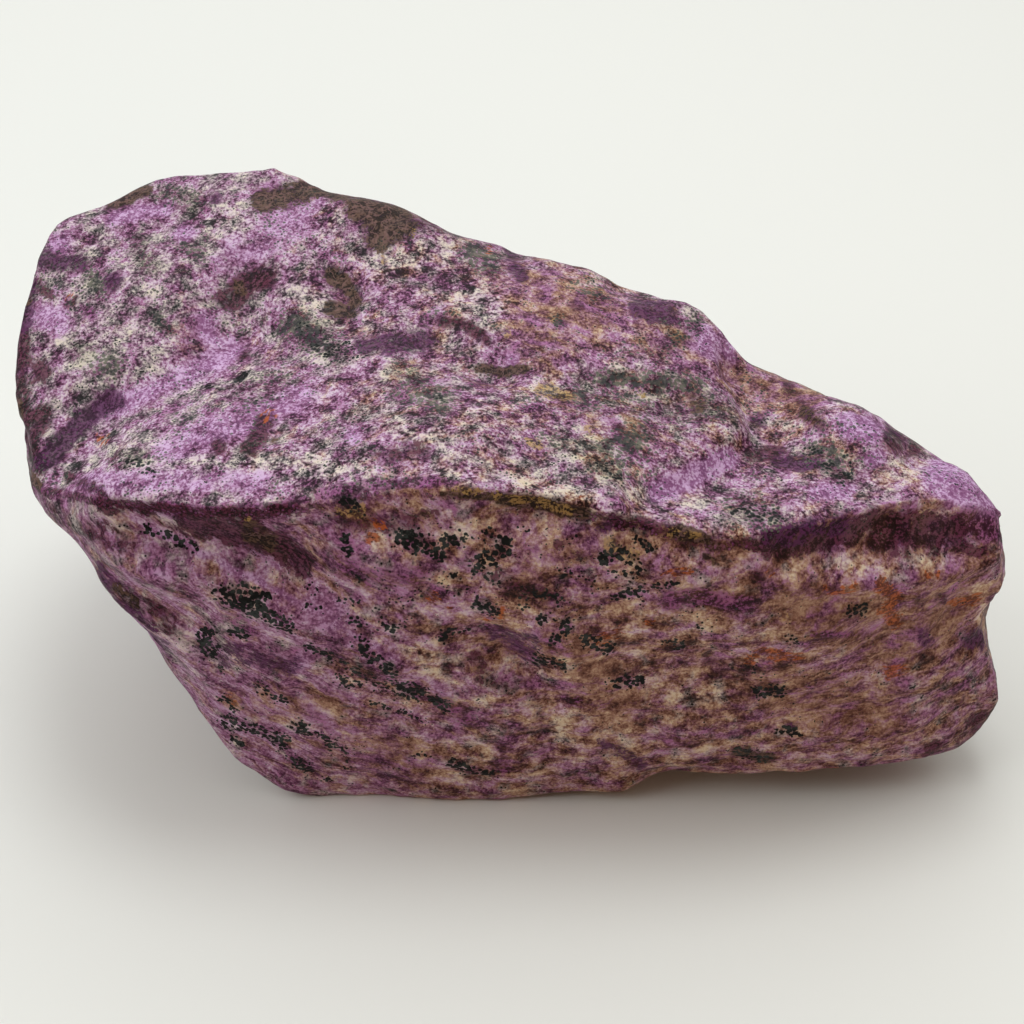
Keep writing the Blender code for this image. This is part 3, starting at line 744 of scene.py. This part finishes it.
def make_stone():
    mesh = finer_mesh()
    points, facing = positions(mesh), normals(mesh)
    points += facing * relief(points, facing)[:, None]
    points[:, 2] = np.maximum(points[:, 2], 0.0)
    mesh.vertices.foreach_set("co", (points * MM).ravel())
    mesh.update()
    facing = normals(mesh)
    for index, kind in enumerate(MARKS):
        store(mesh, kind, marking(kind, index, points, facing))
    across, down, seen = in_picture(points, facing)
    shown = share_seen(seen)
    above = np.interp(across, *zip(*RIDGE)) - down
    above = above + UPPER_WANDER * noise_at(points, UPPER_WANDER_SIZE, seed=33.0)
    # The rim: a band of painted shade under the ridge, where it overhangs.
    off_rim = np.abs(above + RIM_BELOW + RIM_WANDER * noise_at(points, RIM_WANDER_SIZE, seed=12.0))
    rim = shown * np.interp(across, *zip(*RIM)) * smooth_step(RIM_FADE - off_rim / RIM_BELOW)
    store(mesh, "rim", rim)
    upper = shown * smooth_step(above / UPPER_EDGE + 0.5)
    upper += (1 - shown) * smooth_step(facing[:, 2] / UPPER_SLOPE)
    store(mesh, "upper", upper)
    piece = bpy.data.objects.new("rough_stone", mesh)
    bpy.context.scene.collection.objects.link(piece)
    mesh.materials.clear()
    mesh.materials.append(stichtite())
    mesh.shade_smooth()
    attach(piece, "root")
    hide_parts("stone")


# The stone's colours.
BLACK = (0.006, 0.007, 0.007)
GREEN = (0.030, 0.037, 0.036)
GREY_GREEN = (0.115, 0.120, 0.092)
OLIVE_DARK = (0.018, 0.011, 0.007)
OLIVE = (0.105, 0.060, 0.040)
VEIN = (0.200, 0.110, 0.105)
# The dark violet is also the colour of painted shade on facets turned away from the light.
VIOLET_DARK = (0.024, 0.006, 0.020)
VIOLET = (0.100, 0.024, 0.088)
# The dark maroon is also the colour of painted shade under the ridge.
MAROON_DARK = (0.012, 0.003, 0.004)
MAROON = (0.105, 0.022, 0.050)
MAGENTA_DARK = (0.036, 0.006, 0.022)
MAGENTA = (0.270, 0.070, 0.215)
PINK = (0.400, 0.150, 0.330)
LILAC = (0.260, 0.100, 0.250)
# The pale lilac is also the colour of the painted highlight on the right end's top.
PALE_LILAC = (0.590, 0.380, 0.640)
RUST_DARK = (0.120, 0.030, 0.010)
RUST = (0.420, 0.100, 0.022)
GOLD = (0.420, 0.260, 0.090)
# Ramps from the darkest to the palest ground: purple, brown to beige, and grey to cream.
PURPLES = (
    (0.355, (0.022, 0.006, 0.016)),
    (0.420, (0.078, 0.023, 0.058)),
    (0.475, (0.185, 0.066, 0.145)),
    (0.525, (0.320, 0.145, 0.262)),
    (0.580, (0.450, 0.272, 0.442)),
    (0.660, (0.660, 0.540, 0.660)),
)
BROWNS = (
    (0.355, (0.022, 0.008, 0.006)),
    (0.420, (0.082, 0.031, 0.024)),
    (0.475, (0.200, 0.092, 0.066)),
    (0.525, (0.345, 0.195, 0.138)),
    (0.580, (0.500, 0.335, 0.235)),
    (0.660, (0.700, 0.580, 0.420)),
)
GREYS = (
    (0.355, (0.014, 0.015, 0.015)),
    (0.420, (0.048, 0.046, 0.046)),
    (0.475, (0.135, 0.118, 0.122)),
    (0.525, (0.275, 0.232, 0.240)),
    (0.580, (0.450, 0.395, 0.380)),
    (0.660, (0.700, 0.630, 0.540)),
)
# What the green places leave of the ground's colour, and how fully they do.
MOSS_TINT = (0.50, 0.58, 0.38)
MOSS_SHARE = 0.55

# Textures in lenses along the layers: their length and depth in mm, then the noise's detail and roughness.
BLOTCH = (6.5, 3.0, 3.0, 0.6)
STREAK = (2.6, 1.0, 4.0, 0.66)
HUE = (3.2, 1.6, 5.0, 0.72)
FIBRES = (1.3, 0.30, 2.0, 0.6)
LENSES = (0.9, 0.6, 2.0, 0.6)
# Textures that are the same every way: their swells per mm, detail and roughness.
CLOUD = (0.17, 3.0, 0.55)
MOTTLE = (0.62, 4.0, 0.68)
GRIT = (3.4, 2.0, 0.6)
PEPPER = (0.52, 4.0, 0.66)
VEINING = (0.7, 2.0, 0.5)
# Two noises bend the textures, each by up to about half its reach in mm.
SWIRL = (0.12, 2.0, 0.5)
SWIRL_REACH = 3.0
CURL = (0.7, 2.0, 0.5)
CURL_REACH = 0.8
# The size of the grains, in mm.
GRAIN = 0.43

# Stretches of the stone by x in mm, from where each has no effect to where it has its full effect.
WEST = (-10.0, -40.0)
CRUMBLY_WEST = (-22.0, -8.0)
CRUMBLY_EAST = (34.0, 16.0)
DULL_EAST = (0.0, 30.0)
BROWN_EAST = (-34.0, 30.0)

# How much of each texture goes into the tone of the front, of the upper face and of the markings.
FRONT_TONE = {"blotch": 0.24, "streak": 0.20, "mottle": 0.18, "grainy": 0.18, "grit": 0.20}
TOP_TONE = {"blotch": 0.10, "cloud": 0.08, "streak": 0.16, "mottle": 0.32, "fibres": 0.05, "grit": 0.29}
INNER_TONE = {"grit": 0.4, "fibres": 0.3, "mottle": 0.3}
INNER_EDGE = (0.47, 0.56)
# The ground's tone on the scale of the ramps, its contrast, and its turn to brown and to grey: a base, and
# what each place adds.
TONE = 0.521
TONE_BY_PLACE = {
    "upper": -0.008,
    "west": 0.012,
    "dull": -0.014,
    # Lilac places are lighter, partly as a painted highlight.
    "lilac": 0.03,
    "magenta": -0.02,
    "rose": -0.012,
    "crumbly": -0.006,
}
CONTRAST = 1.55
CONTRAST_BY_PLACE = {"upper": 0.4, "rose": -0.7, "lilac": -0.3}
BROWN = -2.71
BROWN_BY_HUE = 5.5
BROWN_BY_PLACE = {
    "rose": 0.45,
    "cream": 0.3,
    "lilac": -1.0,
    "upper west": -0.5,
    "east": 0.5,
    "upper east": -0.35,
    "crumbly": 0.25,
}
GREY = -2.60
GREY_BY_PEPPER = 5.0
GREY_BY_PLACE = {"upper": 0.25, "west": 0.3, "cream": 0.4, "rose": -0.8, "lilac": -1.0}
# The grains in the tone of the upper face and of the cream places: the distance from a grain's middle at
# which they change nothing, and their strength.
TOP_GRAINS = (0.55, 0.05)
CREAM_GRAINS = (0.70, 0.20)
CREAM_MOTTLE = 0.5
# Where the hue is below this, the ground is pink, and it turns so this fast.
PINK_BELOW = 0.44
PINK_SPEED = 9.0

# How strong a marking has to be to show at all, and to show wherever its texture lets it.
MARK_EDGE = (0.02, 0.25)
# The rim, painted shade under the ridge: its strength, what crumbs and grains add, its edges, where the grit
# turns it to the brighter maroon and the grains to magenta, and its share.
RIM_STRENGTH = 0.8
RIM_CRUMBS = 5.0
RIM_GRAINS = 0.5
RIM_EDGE = (0.45, 0.65)
RIM_MARK_EDGE = (0.02, 0.3)
RIM_GRIT = (0.45, 0.62)
RIM_MAGENTA = (0.38, 0.26)
RIM_MAGENTA_SHARE = 0.6
RIM_SHARE = 0.85
# The green flecks: their base, what a mark, the upper face, its clouds and the lace add, their edge and
# share, and where the mottle turns them from green to grey-green.
FLECK = 0.14
FLECK_MARK = 0.34
FLECK_UPPER = 0.10
FLECK_CLOUD = 1.3
FLECK_LACE = 1.2
FLECK_EDGE = (0.0, 0.12)
FLECK_SHARE = 0.9
FLECK_TURN = (0.42, 0.6)
# The veins in the olive places: how near to its middle their noise is there, squared, and their edge and
# share.
VEIN_WIDTH = (0.0010, 0.0001)
VEIN_EDGE = (0.5, 0.9)
VEIN_SHARE = 0.6
# The specks: their base, what a mark, the pepper and the lace add, the most that the first three make, their
# edge, and where the mottle turns them from black to green.
SPECK = 0.06
SPECK_MARK = 0.66
SPECK_PEPPER = 1.5
SPECK_LACE = 1.2
SPECK_MOST = 0.68
SPECK_EDGE = (0.0, 0.08)
SPECK_TURN = (0.48, 0.58)

# The surface: how much each texture lifts it, the bump's strength and height in mm, the roughness and gloss.
BUMPS = {"fibres": 0.4, "grit": 0.45, "streak": 0.5}
BUMP_STRENGTH = 0.55
BUMP_HEIGHT = 0.35
ROUGHNESS = 0.40
ROUGHNESS_BY_GRIT = 0.20
SPECULAR = 0.1


def blended(shares, parts):
    """The sum of the named parts, each times its share."""
    total = None
    for name, share in shares.items():
        part = parts[name] * share
        total = part if total is None else total + part
    return total


def stichtite():
    paint = Paint("rough stichtite")
    place = paint.node("ShaderNodeTexCoord", {}, {}).outputs["Object"]
    place = paint.vector("MULTIPLY", place, (1 / MM, 1 / MM, 1 / MM))
    middle = (0.5, 0.5, 0.5)
    swirl = paint.vector("SUBTRACT", paint.noise(place, *SWIRL).outputs["Color"], middle)
    curl = paint.vector("SUBTRACT", paint.noise(place, *CURL).outputs["Color"], middle)
    warped = paint.vector("ADD", place, paint.vector("MULTIPLY", swirl, (SWIRL_REACH,) * 3))
    warped = paint.vector("ADD", warped, paint.vector("MULTIPLY", curl, (CURL_REACH,) * 3))
    x, y, z = paint.parts(warped)
    left = (x - LAYERS_LEVEL_FROM).at_most(0.0)
    layer = z - LAYERS_BEND * left * left - LAYERS_LEAN * y

    def along(length, depth, detail, roughness):
        """Noise in lenses of this size along the stone's layers."""
        return paint.noise_number(paint.joined(x / length, y / length, layer / depth), 1.0, detail, roughness)

    hue = along(*HUE)
    pepper = paint.noise_number(warped, *PEPPER)
    mark = {kind: paint.attribute(kind) for kind in MARKS}
    upper = paint.attribute("upper")
    front = 1.0 - upper
    crumbly = x.between(*CRUMBLY_WEST) * x.between(*CRUMBLY_EAST)
    texture = {
        "blotch": along(*BLOTCH),
        "streak": along(*STREAK),
        "fibres": along(*FIBRES),
        "cloud": paint.noise_number(place, *CLOUD),
        "mottle": paint.noise_number(place, *MOTTLE),
        "grit": paint.noise_number(place, *GRIT),
    }
    fibres, cloud, mottle, grit = (texture[name] for name in ("fibres", "cloud", "mottle", "grit"))
    texture["grainy"] = fibres + crumbly * (mottle - fibres)
    lace = grit * 0.5 + along(*LENSES) * 0.5
    crumbs = lace * 0.5 + mottle * 0.5
    grains = paint.cell_distance(paint.vector("MULTIPLY", place, (1 / GRAIN, 1 / GRAIN, 1 / GRAIN)))
    inner = blended(INNER_TONE, texture).between(*INNER_EDGE)
    west = x.between(*WEST)
    east = x.between(*BROWN_EAST)
    where = {
        **mark,
        "upper": upper,
        "west": west,
        "east": east,
        "upper west": upper * west,
        "upper east": upper * east,
        "dull": x.between(*DULL_EAST) * front,
        "crumbly": crumbly * front,
    }

    def grain_tone(middle_distance, strength):
        return (middle_distance - grains) * strength

    def laid(under, kind, breaker, dark, bright, share, hold, softness=0.2):
        """A marking over the colour under it. The breaker is the texture that breaks up its edge."""
        amount = mark[kind] + (breaker - 0.5) * hold
        patch = amount.between(0.5 - softness, 0.5 + softness) * mark[kind].between(*MARK_EDGE)
        inside = paint.mix(inner, (*dark, 1.0), (*bright, 1.0))
        return paint.mix(patch * share, under, inside)

    front_tone = blended(FRONT_TONE, texture)
    top_tone = blended(TOP_TONE, texture) + grain_tone(*TOP_GRAINS)
    tone = front_tone + upper * (top_tone - front_tone)
    tone = (tone - 0.5) * (CONTRAST + blended(CONTRAST_BY_PLACE, where))
    tone = TONE + blended(TONE_BY_PLACE, where) + tone
    tone = tone + mark["cream"] * (grain_tone(*CREAM_GRAINS) + (mottle - 0.5) * CREAM_MOTTLE)
    brown = BROWN + hue * BROWN_BY_HUE + blended(BROWN_BY_PLACE, where)
    grey = GREY + pepper * GREY_BY_PEPPER + blended(GREY_BY_PLACE, where)
    colour = paint.mix(brown, paint.ramp(tone, PURPLES), paint.ramp(tone, BROWNS))
    colour = paint.mix((PINK_BELOW - hue) * PINK_SPEED * inner, colour, (*PINK, 1.0))
    colour = paint.mix(grey, colour, paint.ramp(tone, GREYS))
    colour = paint.mix(mark["green"] * MOSS_SHARE, colour, paint.vector("MULTIPLY", colour, MOSS_TINT))

    # Lilac marks: the stone's lilac, and a painted highlight on the right end's top and along the ridge.
    colour = laid(colour, "lilac", mottle, LILAC, PALE_LILAC, share=0.75, hold=2.0, softness=0.40)
    colour = laid(colour, "magenta", crumbs, MAGENTA_DARK, MAGENTA, share=0.75, hold=4.0)
    # Maroon marks: the stone's maroon, and painted shade under the ridge and on stepped facets.
    colour = laid(colour, "maroon", crumbs, MAROON_DARK, MAROON, share=0.92, hold=5.0)
    # Violet marks: the stone's violet, and painted shade on facets turned away from the light.
    colour = laid(colour, "violet", crumbs, VIOLET_DARK, VIOLET, share=0.92, hold=5.0)

    # The dark rim under the ridge is painted shade, in dark maroon with brighter maroon and magenta grains.
    rim = paint.attribute("rim")
    ragged_rim_shade = rim * RIM_STRENGTH + (crumbs - 0.5) * RIM_CRUMBS + grain_tone(0.5, RIM_GRAINS)
    ragged_rim_shade = ragged_rim_shade.between(*RIM_EDGE) * rim.between(*RIM_MARK_EDGE)
    rim_shade_colour = paint.mix(grit.between(*RIM_GRIT), (*MAROON_DARK, 1.0), (*MAROON, 1.0))
    rim_shade_colour = paint.mix(grains.between(*RIM_MAGENTA) * RIM_MAGENTA_SHARE, rim_shade_colour, (*MAGENTA, 1.0))
    colour = paint.mix(ragged_rim_shade * RIM_SHARE, colour, rim_shade_colour)

    fleck = FLECK + mark["green"] * FLECK_MARK + upper * ((cloud - 0.5) * FLECK_CLOUD + FLECK_UPPER)
    fleck = (fleck + (lace - 0.5) * FLECK_LACE - grains).between(*FLECK_EDGE)
    fleck_colour = paint.mix(mottle.between(*FLECK_TURN), (*GREEN, 1.0), (*GREY_GREEN, 1.0))
    colour = paint.mix(fleck * FLECK_SHARE, colour, fleck_colour)

    colour = laid(colour, "rust", fibres, RUST_DARK, RUST, share=0.85, hold=4.0)
    colour = laid(colour, "olive", crumbs, OLIVE_DARK, OLIVE, share=0.95, hold=4.0)
    vein = paint.noise_number(warped, *VEINING) - 0.5
    vein = (vein * vein).between(*VEIN_WIDTH) * mark["olive"].between(*VEIN_EDGE)
    colour = paint.mix(vein * VEIN_SHARE, colour, (*VEIN, 1.0))
    colour = laid(colour, "gold", crumbs, OLIVE_DARK, GOLD, share=0.75, hold=5.0)

    speck = (SPECK + mark["speck"] * SPECK_MARK + (pepper - 0.5) * SPECK_PEPPER).at_most(SPECK_MOST)
    speck = (speck + (lace - 0.5) * SPECK_LACE - grains).between(*SPECK_EDGE)
    speck_colour = paint.mix(mottle.between(*SPECK_TURN), (*BLACK, 1.0), (*GREEN, 1.0))
    colour = paint.mix(speck, colour, speck_colour)

    lift = {"Strength": BUMP_STRENGTH, "Distance": BUMP_HEIGHT * MM, "Height": blended(BUMPS, texture)}
    bump = paint.node("ShaderNodeBump", {}, lift)
    surface = {
        "Base Color": colour,
        "Roughness": ROUGHNESS + grit * ROUGHNESS_BY_GRIT,
        "Normal": bump.outputs[0],
        "Specular IOR Level": SPECULAR,
    }
    paint.feed(paint.shader, surface)
    return paint.material


# The floor reaches this far each way from the stone, in metres.
FLOOR_REACH = 2.0
FLOOR_COLOUR = (0.77, 0.79, 0.76)
FLOOR_ROUGHNESS = 0.6


def make_floor():
    bm = bmesh.new()
    bmesh.ops.create_grid(bm, x_segments=2, y_segments=2, size=FLOOR_REACH)
    mesh = bpy.data.meshes.new("floor")
    bm.to_mesh(mesh)
    bm.free()
    floor = bpy.data.objects.new("floor", mesh)
    bpy.context.scene.collection.objects.link(floor)
    paint = Paint("pale floor")
    paint.feed(paint.shader, {"Base Color": (*FLOOR_COLOUR, 1.0), "Roughness": FLOOR_ROUGHNESS})
    mesh.materials.append(paint.material)


# The lamps: name, place and size across in metres, power in watts and colour. All of them point at one place.
LAMPS = (
    ("ceiling lamp", (0.02, 0.12, 0.52), 0.2, 0.62, (0.98, 1.0, 0.99)),
    ("ceiling behind", (0.02, 0.30, 0.46), 0.5, 0.50, (0.98, 1.0, 0.99)),
    ("left window", (-0.50, -0.06, 0.40), 0.5, 1.60, (0.97, 0.99, 1.0)),
    ("right wall", (0.50, 0.10, 0.45), 0.5, 0.42, (1.0, 0.96, 0.90)),
    ("front wall", (0.22, -0.56, 0.15), 0.4, 0.52, (1.0, 0.68, 0.47)),
)
LAMPS_AIM = Vector((0.0, 0.0, 0.02))


def add_light(name, place, size, power, colour):
    data = bpy.data.lights.new(name, "AREA")
    data.shape = "DISK"
    data.size = size
    data.energy = power
    data.color = colour
    light = bpy.data.objects.new(name, data)
    light.location = place
    light.rotation_euler = (LAMPS_AIM - light.location).to_track_quat("-Z", "Y").to_euler()
    bpy.context.scene.collection.objects.link(light)


# The light of the room itself is brightest from this direction, high up and behind. The stops run from
# directions at a right angle to it or more, which are dark and warm, to the direction itself.
BRIGHT_SKY = (0.0, 0.55, 0.835)
SKY = (
    (0.05, (0.08, 0.035, 0.015)),
    (0.40, (0.15, 0.10, 0.07)),
    (0.80, (0.88, 0.88, 0.87)),
)
# The nearest that the camera sees, in metres.
CLIP_START = 0.01


def set_scene():
    data = bpy.data.cameras.new("camera")
    data.lens = LENS
    data.sensor_width = SENSOR
    data.clip_start = CLIP_START
    camera = bpy.data.objects.new("camera", data)
    back = Vector((0.0, -math.cos(CAMERA_HEIGHT), math.sin(CAMERA_HEIGHT)))
    camera.location = (TARGET + back * CAMERA_DISTANCE) * MM
    camera.rotation_euler = (math.pi / 2 - CAMERA_HEIGHT, 0.0, 0.0)
    bpy.context.scene.collection.objects.link(camera)
    bpy.context.scene.camera = camera
    for lamp in LAMPS:
        add_light(*lamp)
    world = bpy.data.worlds.new("room")
    world.use_nodes = True
    nodes = world.node_tree.nodes
    links = world.node_tree.links
    direction = nodes.new("ShaderNodeTexCoord")
    height = nodes.new("ShaderNodeVectorMath")
    height.operation = "DOT_PRODUCT"
    height.inputs[1].default_value = BRIGHT_SKY
    colour = nodes.new("ShaderNodeValToRGB")
    set_stops(colour.color_ramp, SKY)
    links.new(direction.outputs["Generated"], height.inputs[0])
    links.new(height.outputs["Value"], colour.inputs[0])
    links.new(colour.outputs[0], nodes["Background"].inputs["Color"])
    bpy.context.scene.world = world
    bpy.context.scene.view_settings.view_transform = "Standard"


make_stone()
make_floor()
set_scene()
